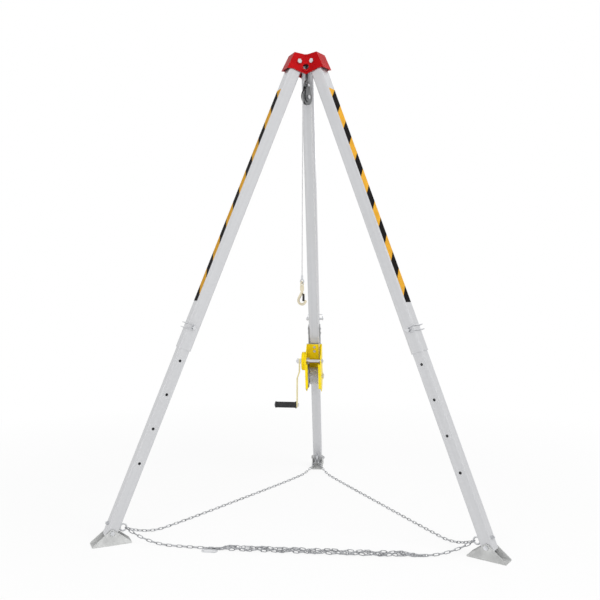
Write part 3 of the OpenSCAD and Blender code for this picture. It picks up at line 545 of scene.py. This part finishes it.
def seen_directly(tree):
    """1 on camera, glossy and transmission rays, and 0 on the rest."""
    ray = add(tree, "ShaderNodeLightPath").outputs
    direct = math_node(tree, "MAXIMUM", ray["Is Camera Ray"], ray["Is Glossy Ray"])
    return math_node(tree, "MAXIMUM", direct.outputs[0], ray["Is Transmission Ray"]).outputs[0]


def mottled(tree, grain, a, b):
    """A colour that changes with the broad grain."""
    return mixed(tree, spread(tree, grain.outputs["Broad"], 0.0, 1.0), a, b)


def shade(colour, factor):
    """A colour made darker or lighter."""
    return tuple(min(1.0, c * factor) for c in tuple(colour)[:3]) + (1.0,)


def metal_finish(
    name, colour, rough, scale, relief=0.1, stretch=1.0, contrast=0.8, leg=None, scuffs=0.0, metallic=1.0
):
    """Metal: broad mottling in its colour, fine grain in its gloss and relief, and scuffs."""
    finish, tree, shader = new_finish(name)
    vector = place_vector(tree, leg)
    grain = grain_of(tree, vector, scale, stretch)
    base = mottled(tree, grain, shade(colour, contrast), tuple(colour))
    if scuffs > 0.0:
        base = mixed(tree, scuffs_of(tree, vector, scale * 0.4, scuffs), base, shade(colour, 0.55))
    tree.links.new(base, shader.inputs["Base Color"])
    gloss = spread(tree, grain.outputs["Fine"], rough - 0.07, rough + 0.09)
    tree.links.new(gloss, shader.inputs["Roughness"])
    shader.inputs["Metallic"].default_value = metallic
    add_relief(tree, shader, grain.outputs["Fine"], relief, 0.0004)
    return finish


def paint_finish(name, colour, bare, rough, scale, relief=0.12, wear=0.8):
    """Enamel over metal: slight change of shade, orange-peel relief, and bare metal on worn edges."""
    finish, tree, shader = new_finish(name)
    vector = place_vector(tree)
    grain = grain_of(tree, vector, scale)
    inputs = {"Vector": vector, "Radius": 0.0016, "Scale": 140.0, "Amount": wear}
    worn = group_node(tree, wear_group, "Edge Wear", inputs)
    paint = mottled(tree, grain, shade(colour, 0.82), shade(colour, 1.08))
    tree.links.new(mixed(tree, worn.outputs["Mask"], paint, bare), shader.inputs["Base Color"])
    tree.links.new(worn.outputs["Mask"], shader.inputs["Metallic"])
    gloss = spread(tree, grain.outputs["Fine"], rough - 0.06, rough + 0.1)
    tree.links.new(gloss, shader.inputs["Roughness"])
    shader.inputs["Specular IOR Level"].default_value = 0.05
    shader.inputs["Coat Weight"].default_value = 0.02
    shader.inputs["Coat Roughness"].default_value = 0.2
    add_relief(tree, shader, grain.outputs["Fine"], relief, 0.0005)
    return finish


def tape_finish(leg, slant):
    """Hazard tape: dark where the fraction of (height plus slant times width, plus the start) over the
    period is below a half, in the leg's own frame, with uneven amber, scuffs and a low sheen."""
    paint = colours()
    finish, tree, shader = new_finish("hazard_tape_" + leg)
    vector = place_vector(tree, leg)
    parts = add(tree, "ShaderNodeSeparateXYZ", {0: vector})
    lean = math_node(tree, "MULTIPLY", parts.outputs["X"], slant)
    along = math_node(tree, "ADD", parts.outputs["Z"], lean.outputs[0])
    along = math_node(tree, "ADD", along.outputs[0], sizes().stripe_start)
    turns = math_node(tree, "DIVIDE", along.outputs[0], sizes().stripe_period)
    cycle = math_node(tree, "FRACT", turns.outputs[0])
    dark = math_node(tree, "LESS_THAN", cycle.outputs[0], 0.5)
    grain = grain_of(tree, vector, 900.0)
    marks = scuffs_of(tree, vector, 160.0, 0.12)
    amber = mottled(tree, grain, shade(paint.amber, 0.8), tuple(paint.amber))
    stripes = mixed(tree, dark.outputs[0], amber, tuple(paint.black))
    tree.links.new(mixed(tree, marks, stripes, (0.35, 0.30, 0.24, 1.0)), shader.inputs["Base Color"])
    tree.links.new(spread(tree, grain.outputs["Fine"], 0.5, 0.66), shader.inputs["Roughness"])
    shader.inputs["Specular IOR Level"].default_value = 0.02
    add_relief(tree, shader, grain.outputs["Fine"], 0.08, 0.0003)
    return finish


def rubber_finish():
    """Moulded rubber: fine pebble relief, a dusty change of shade and a dull sheen."""
    finish, tree, shader = new_finish("grip_rubber")
    vector = place_vector(tree)
    grain = grain_of(tree, vector, 1400.0)
    base = mottled(tree, grain, tuple(colours().rubber), shade(colours().rubber, 2.2))
    tree.links.new(base, shader.inputs["Base Color"])
    tree.links.new(spread(tree, grain.outputs["Fine"], 0.55, 0.72), shader.inputs["Roughness"])
    shader.inputs["Specular IOR Level"].default_value = 0.15
    add_relief(tree, shader, grain.outputs["Fine"], 0.3, 0.0006)
    return finish


def rope_finish():
    """Galvanised wire rope: fine wires as a wave across each strand, and painted shade that darkens the
    colour between strands.
    """
    finish, tree, shader = new_finish("wire_rope")
    uv = add(tree, "ShaderNodeTexCoord").outputs["UV"]
    parts = add(tree, "ShaderNodeSeparateXYZ", {0: uv})
    strands = math_node(tree, "MULTIPLY", parts.outputs["Y"], float(sizes().rope_strands))
    within = math_node(tree, "FRACT", strands.outputs[0])
    middle = math_node(tree, "SUBTRACT", within.outputs[0], 0.5)
    away = math_node(tree, "ABSOLUTE", middle.outputs[0])
    # Painted shade: a mask that rises towards the gaps between strands, where shade falls.
    painted_strand_shade = range_node(tree, away.outputs[0], 0.3, 0.5)
    wires = math_node(tree, "MULTIPLY", within.outputs[0], 5.0)
    lay = math_node(tree, "MULTIPLY", parts.outputs["X"], 9.0)
    cross = math_node(tree, "ADD", wires.outputs[0], lay.outputs[0])
    phase = math_node(tree, "MULTIPLY", cross.outputs[0], 2.0 * math.pi)
    wave = math_node(tree, "SINE", phase.outputs[0])
    # Painted shade between strands: the wire colour is mixed towards a third of itself there.
    base = mixed(tree, painted_strand_shade.outputs[0], tuple(colours().wire), shade(colours().wire, 0.3))
    tree.links.new(base, shader.inputs["Base Color"])
    tree.links.new(
        range_node(tree, wave.outputs[0], -1.0, 1.0, 0.25, 0.40).outputs[0],
        shader.inputs["Roughness"],
    )
    shader.inputs["Metallic"].default_value = 0.9
    add_relief(tree, shader, wave.outputs[0], 0.3, 0.0002)
    return finish


def dress(finish, *names):
    """Puts a finish on CAD nodes."""
    for name in names:
        NODES[name].data.materials.clear()
        NODES[name].data.materials.append(finish)


def on_legs(prefix):
    """A node's name on each leg."""
    return [f"{prefix}_{leg}" for leg in LEG_TURN]


def zinc_finish():
    """Bright zinc, made once."""
    made = bpy.data.materials.get("bright_zinc")
    return made or metal_finish("bright_zinc", colours().zinc, 0.33, 700.0)


# Operators


class TRIPOD_OT_stage(bpy.types.Operator):
    """Camera, soft lamps, white surroundings and the floor"""

    bl_idname = "tripod.stage"
    bl_label = "Stage"

    def execute(self, context):
        scene = context.scene
        scene.view_settings.view_transform = "Standard"
        self.place_camera(scene)
        self.place_lamps(scene)
        self.light_world(scene)
        self.lay_floor()
        return {"FINISHED"}

    def place_camera(self, scene):
        """Camera axes: forward from yaw and pitch, then right and up, both turned by the roll."""
        forward = np.array(
            [
                math.sin(CAMERA_YAW) * math.cos(CAMERA_PITCH),
                math.cos(CAMERA_YAW) * math.cos(CAMERA_PITCH),
                math.sin(CAMERA_PITCH),
            ]
        )
        right = np.array([math.cos(CAMERA_YAW), -math.sin(CAMERA_YAW), 0.0])
        up = np.cross(right, forward)
        rolled_right = math.cos(CAMERA_ROLL) * right + math.sin(CAMERA_ROLL) * up
        rolled_up = -math.sin(CAMERA_ROLL) * right + math.cos(CAMERA_ROLL) * up
        turn = Matrix(np.stack([rolled_right, rolled_up, -forward], -1).tolist())
        data = bpy.data.cameras.new("photo_camera")
        data.lens = CAMERA_LENS
        data.sensor_width = SENSOR
        camera = bpy.data.objects.new("photo_camera", data)
        camera.matrix_world = Matrix.Translation(CAMERA_PLACE) @ turn.to_4x4()
        scene.collection.objects.link(camera)
        scene.camera = camera

    def place_lamps(self, scene):
        """Three wide area lamps, turned to the middle of the stand. Those in front make no highlights."""
        for name, place, width, power, gleam in (
            ("key_lamp", (2.8, -2.6, 4.8), 2.6, 85.0, False),
            ("fill_lamp", (-0.6, -4.0, 1.6), 2.2, 60.0, False),
            ("back_lamp", (0.6, 3.2, 3.2), 2.4, 24.0, True),
        ):
            data = bpy.data.lights.new(name, "AREA")
            data.size = width
            data.energy = power
            lamp = bpy.data.objects.new(name, data)
            away = unit(np.array(place) - np.array([0.0, 0.0, LAMP_AIM]))
            right = unit(np.cross(np.array([0.0, 0.0, 1.0]), away))
            turn = Matrix(np.stack([right, np.cross(away, right), away], -1).tolist())
            lamp.matrix_world = Matrix.Translation(place) @ turn.to_4x4()
            lamp.visible_glossy = gleam
            scene.collection.objects.link(lamp)

    def light_world(self, scene):
        """White to the camera and in reflections. The rest gets soft light, brightest from the front right
        and dim from the back left."""
        world = bpy.data.worlds.new("studio")
        world.use_nodes = True
        tree = world.node_tree
        tree.nodes.clear()
        way = add(tree, "ShaderNodeTexCoord").outputs["Generated"]
        side = vector_node(tree, "DOT_PRODUCT", way, BRIGHT_SIDE)
        level = range_node(tree, side.outputs["Value"], -1.0, 1.0, 0.20, 1.05)
        soft = add(tree, "ShaderNodeBackground", {"Color": WHITE, "Strength": level.outputs[0]})
        white = add(tree, "ShaderNodeBackground", {"Color": WHITE, "Strength": 1.0})
        shaders = {0: seen_directly(tree), 1: soft.outputs[0], 2: white.outputs[0]}
        mix = add(tree, "ShaderNodeMixShader", shaders)
        add(tree, "ShaderNodeOutputWorld", {"Surface": mix.outputs[0]})
        scene.world = world

    def lay_floor(self):
        """A flat square, white to the camera with the stand's shadow near the feet, and white far away
        and in reflections."""
        signs = ((-1.0, -1.0), (1.0, -1.0), (1.0, 1.0), (-1.0, 1.0))
        corners = np.array([[x * FLOOR_HALF, y * FLOOR_HALF, -FLOOR_DROP] for x, y in signs])
        floor = mesh_piece("floor", corners, [[0, 1, 2, 3]], smooth=False)
        finish = bpy.data.materials.new("white_floor")
        finish.use_nodes = True
        tree = finish.node_tree
        tree.nodes.clear()
        place = add(tree, "ShaderNodeTexCoord").outputs["Object"]
        distance = vector_node(tree, "LENGTH", place)
        far = range_node(tree, distance.outputs["Value"], 1.2, 3.0, 0.86, 1.0)
        seen = math_node(tree, "MULTIPLY", far.outputs[0], seen_directly(tree))
        matte = add(tree, "ShaderNodeBsdfDiffuse", {"Color": (0.88, 0.88, 0.88, 1.0)})
        glow = add(tree, "ShaderNodeEmission", {"Color": WHITE, "Strength": 1.0})
        shaders = {0: seen.outputs[0], 1: matte.outputs[0], 2: glow.outputs[0]}
        mix = add(tree, "ShaderNodeMixShader", shaders)
        add(tree, "ShaderNodeOutputMaterial", {"Surface": mix.outputs[0]})
        floor.data.materials.append(finish)


class TRIPOD_OT_ropes(bpy.types.Operator):
    """Hook line, its run to the winch and the winding on the drum"""

    bl_idname = "tripod.ropes"
    bl_label = "Wire Rope"

    def execute(self, context):
        finish = rope_finish()
        sheave = np.array(JOINTS["sheave_spin"]["pos_m"])
        ahead = np.array([-math.sin(BLOCK_TURN), math.cos(BLOCK_TURN), 0.0])
        diameter = sizes().rope_diameter
        top = sheave - SHEAVE_RADIUS * ahead
        hanging = top + np.linspace(0.0, 1.0, 40)[:, None] * np.array([0.0, 0.0, -LINE_LENGTH])
        line = rope_piece("hook_line", hanging)
        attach(line, "head")
        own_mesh(line)
        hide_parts("rope_hook")
        lifted, wound = self.winch_paths(sheave, ahead, diameter)
        run = rope_piece("lift_line", lifted)
        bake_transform(run)
        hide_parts("rope_lift")
        wrap = rope_piece("drum_rope", wound)
        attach(wrap, "drum")
        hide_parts("rope_winding")
        for piece in (line, run, wrap):
            piece.data.materials.append(finish)
        return {"FINISHED"}

    def winch_paths(self, sheave, ahead, diameter):
        """The lift runs round the sheave as a circle arc, then straight to the drum. The winding is a helix
        that goes across at the layer below, steps out at the flange as a running mean over one turn, and
        comes back on top."""
        arc = np.linspace(0.0, SHEAVE_WRAP, WRAP_POINTS)[:, None]
        over = sheave + SHEAVE_RADIUS * (-np.cos(arc) * ahead + np.sin(arc) * np.array([0.0, 0.0, 1.0]))
        drum = np.array(JOINTS["drum_spin"]["pos_m"])
        _, axes = leg_axes("rear")
        leave = drum + axes @ np.array([WIND_X + WIND_TURNS * WIND_PITCH, WIND_RADIUS, diameter])
        onward = math.sin(SHEAVE_WRAP) * ahead + math.cos(SHEAVE_WRAP) * np.array([0.0, 0.0, 1.0])
        clear = over[-1] + SHEAVE_PAST * onward
        straight = clear + np.linspace(0.0, 1.0, 41)[:, None] * (leave - clear)
        turn = np.linspace(0.0, WIND_TURNS * 2.0 * math.pi, WIND_TURNS * TURN_POINTS + 1)
        across = WIND_X + WIND_PITCH * turn / (2.0 * math.pi)
        below = WIND_RADIUS - LAYER_SHARE * diameter
        out = np.concatenate([np.full(len(turn), below), np.full(len(turn), WIND_RADIUS)])
        angle = np.concatenate([turn, turn + turn[-1]])
        x = np.concatenate([across[::-1], across])
        even = np.ones(TURN_POINTS + 1) / (TURN_POINTS + 1)
        radius = np.convolve(np.pad(out, TURN_POINTS // 2, mode="edge"), even, mode="valid")
        local = np.stack([x, radius * np.cos(angle), radius * np.sin(angle)], -1)
        return np.concatenate([over, straight]), drum + local @ axes.T


class TRIPOD_OT_chains(bpy.types.Operator):
    """Perimeter chain with its spare length and snap link"""

    bl_idname = "tripod.chains"
    bl_label = "Chain"

    def execute(self, context):
        finish = metal_finish("chain_zinc", colours().chain, 0.34, 900.0, contrast=0.6)
        for span, (start, end, _) in SPANS.items():
            t = np.linspace(CHAIN_INSET, 1.0 - CHAIN_INSET, 1600)
            path = self.strand(span, t, 0)
            middles, turns = link_stations(path)
            at = self.share_along(span, middles)
            first, near, mid, far, last = self.marks(span)
            from_leg, to_leg = "leg_" + start, "leg_" + end
            for label, low, high, bodies, ends, node in (
                ("start", -1.0, RISE_SHARE, (from_leg, "shin_" + start), (near, first), "chain_end_" + start),
                ("first", RISE_SHARE, 0.5, ("head", from_leg), (mid, near), "chain_" + span),
                ("second", 0.5, 1.0 - RISE_SHARE, ("head", to_leg), (mid, far), "chain_" + span),
                ("finish", 1.0 - RISE_SHARE, 2.0, (to_leg, "shin_" + end), (far, last), "chain_end_" + end),
            ):
                kept = (at >= low) & (at < high)
                name = f"chain_{span}_{label}"
                self.finish_piece(name, middles[kept], turns[kept], bodies, ends, node, finish)
        self.spare_chain(finish)
        dress(zinc_finish(), "chain_snap_link")
        return {"FINISHED"}

    def marks(self, span):
        """Points of a span where its stretches meet: both eyes, both ends of the floor, and the middle."""
        return chain_line(span, np.array([0.0, RISE_SHARE, 0.5, 1.0 - RISE_SHARE, 1.0]))

    def strand(self, span, t, which):
        """A chain's line: the span itself, and on the front span one of three strands that wind round a
        line raised to the bundle's middle, each a third of a turn from the next."""
        points = chain_line(span, t)
        if span != "front":
            return points
        size = sizes()
        ramp = smooth_step((t - BUNDLE_START) / BUNDLE_FADE) * smooth_step((BUNDLE_END - t) / BUNDLE_FADE)
        _, side, up = path_frames(points)
        run = np.concatenate([[0.0], np.cumsum(np.linalg.norm(np.diff(points, axis=0), axis=1))])
        angle = 2.0 * math.pi * (run / size.bundle_twist + which / 3.0)
        wind = np.cos(angle)[:, None] * side + np.sin(angle)[:, None] * up
        return points + ramp[:, None] * size.bundle_radius * (wind + np.array([0.0, 0.0, 1.0]))

    def share_along(self, span, middles):
        """How far along a span points are, as a share of the straight line between its eyes."""
        a, b = chain_eye(SPANS[span][0]), chain_eye(SPANS[span][1])
        return (middles - a) @ (b - a) / ((b - a) @ (b - a))

    def finish_piece(self, name, middles, turns, bodies, ends, node, finish):
        """One stretch of chain as one mesh with its finish, baked in place, and the CAD node it stands for
        hidden.
        """
        piece = links_piece(name, middles, turns)
        piece.data.materials.append(finish)
        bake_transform(piece)
        if node:
            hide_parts(node)

    def spare_chain(self, finish):
        """The two spare strands of the front bundle, each in two stretches."""
        _, near, mid, far, _ = self.marks("front")
        for which in (1, 2):
            t = np.linspace(BUNDLE_START - SPARE_STEP * which, BUNDLE_END + SPARE_STEP, 1000)
            middles, turns = link_stations(self.strand("front", t, which))
            at = self.share_along("front", middles)
            for label, kept, body, end in (
                ("first", at < 0.5, "leg_left", near),
                ("second", at >= 0.5, "leg_right", far),
            ):
                name = f"chain_spare_{which}_{label}"
                self.finish_piece(
                    name, middles[kept], turns[kept], ("head", body), (mid, end), None, finish
                )


class TRIPOD_OT_legs(bpy.types.Operator):
    """Aluminium tubes, hazard tape, lock pins and feet"""

    bl_idname = "tripod.legs"
    bl_label = "Legs"

    def execute(self, context):
        paint = colours()
        for leg, slant in (("left", -1.0), ("right", 1.0), ("rear", 1.0)):
            tube = metal_finish(
                "anodised_tube_" + leg,
                paint.aluminium,
                0.36,
                1500.0,
                relief=0.06,
                stretch=0.02,
                contrast=0.93,
                leg=leg,
                scuffs=0.12,
                metallic=0.75,
            )
            dress(tube, "upper_tube_" + leg, "lower_tube_" + leg)
            dress(tape_finish(leg, slant), "hazard_tape_" + leg)
        feet = paint_finish("foot_plate", paint.dull_zinc, BARE_FOOT, 0.46, 420.0, wear=0.5)
        dress(feet, *on_legs("foot"))
        for prefix in ("foot_bolt", "lock_pin", "lock_bail", "chain_eye"):
            dress(zinc_finish(), *on_legs(prefix))
        return {"FINISHED"}


class TRIPOD_OT_head(bpy.types.Operator):
    """Red head casting, its bolts and the pulley block"""

    bl_idname = "tripod.head"
    bl_label = "Head and Pulley"

    def execute(self, context):
        paint = colours()
        red = paint_finish("red_enamel", paint.head_red, BARE_HEAD, 0.36, 420.0, relief=0.3, wear=0.5)
        dress(red, "head_casting")
        dress(zinc_finish(), "pivot_bolts", "pulley_pins")
        block = metal_finish("block_steel", paint.block_grey, 0.36, 600.0, contrast=0.7)
        dress(block, "pulley_cheeks", "sheave", "head_eye_bolt")
        return {"FINISHED"}


class TRIPOD_OT_winch(bpy.types.Operator):
    """Winch frame, brake cover, drum, gears and crank"""

    bl_idname = "tripod.winch"
    bl_label = "Winch"

    def execute(self, context):
        paint = colours()
        yellow = paint_finish("yellow_enamel", paint.winch_yellow, BARE_WINCH, 0.34, 380.0)
        dress(yellow, "winch_frame", "brake_cover")
        grey = paint_finish("bracket_enamel", paint.bracket_grey, BARE_BRACKET, 0.45, 380.0)
        dress(grey, "winch_bracket")
        dress(zinc_finish(), "winch_bolts", "tie_bar", "drum_shaft", "drum")
        dress(zinc_finish(), "crank_shaft", "crank_fasteners")
        gears = metal_finish("oiled_steel", paint.gear_steel, 0.38, 500.0, contrast=0.55)
        dress(gears, "drum_gear", "ratchet_wheel", "brake_discs", "pawl")
        arm = metal_finish("straw_zinc", paint.straw, 0.36, 600.0, contrast=0.86, scuffs=0.3)
        dress(arm, "crank_arm")
        dress(rubber_finish(), "crank_grip")
        return {"FINISHED"}


class TRIPOD_OT_hook(bpy.types.Operator):
    """Ferrule, swivel, hook and latch"""

    bl_idname = "tripod.hook"
    bl_label = "Hook"

    def execute(self, context):
        gold = metal_finish("gold_zinc", colours().brass, 0.24, 600.0, contrast=0.8, scuffs=0.3)
        dress(gold, "hook_swivel", "hook_body")
        dress(zinc_finish(), "rope_end")
        dress(metal_finish("browned_latch", shade(colours().gear_steel, 0.4), 0.4, 600.0), "hook_latch")
        return {"FINISHED"}


class TRIPOD_PT_sidebar(bpy.types.Panel):
    """Sidebar list of the tripod's operators"""

    bl_idname = "TRIPOD_PT_sidebar"
    bl_label = "Rescue Tripod"
    bl_space_type = "VIEW_3D"
    bl_region_type = "UI"
    bl_category = "Tripod"

    def draw(self, context):
        for operator in OPERATORS:
            self.layout.operator(operator.bl_idname)


OPERATORS = (
    TRIPOD_OT_stage,
    TRIPOD_OT_ropes,
    TRIPOD_OT_chains,
    TRIPOD_OT_legs,
    TRIPOD_OT_head,
    TRIPOD_OT_winch,
    TRIPOD_OT_hook,
)
CLASSES = (TripodSizes, TripodColours, *OPERATORS, TRIPOD_PT_sidebar)


def register():
    """Registers the classes and gives the scene its sizes and colours."""
    for cls in CLASSES:
        bpy.utils.register_class(cls)
    bpy.types.Scene.tripod_sizes = bpy.props.PointerProperty(type=TripodSizes)
    bpy.types.Scene.tripod_colours = bpy.props.PointerProperty(type=TripodColours)


def unregister():
    """Takes the classes and the scene's properties away."""
    del bpy.types.Scene.tripod_colours
    del bpy.types.Scene.tripod_sizes
    for cls in reversed(CLASSES):
        bpy.utils.unregister_class(cls)


def main():
    """Makes every piece."""
    register()
    bpy.ops.tripod.stage()
    bpy.ops.tripod.ropes()
    bpy.ops.tripod.chains()
    bpy.ops.tripod.legs()
    bpy.ops.tripod.head()
    bpy.ops.tripod.winch()
    bpy.ops.tripod.hook()


if __name__ == "__main__":
    main()
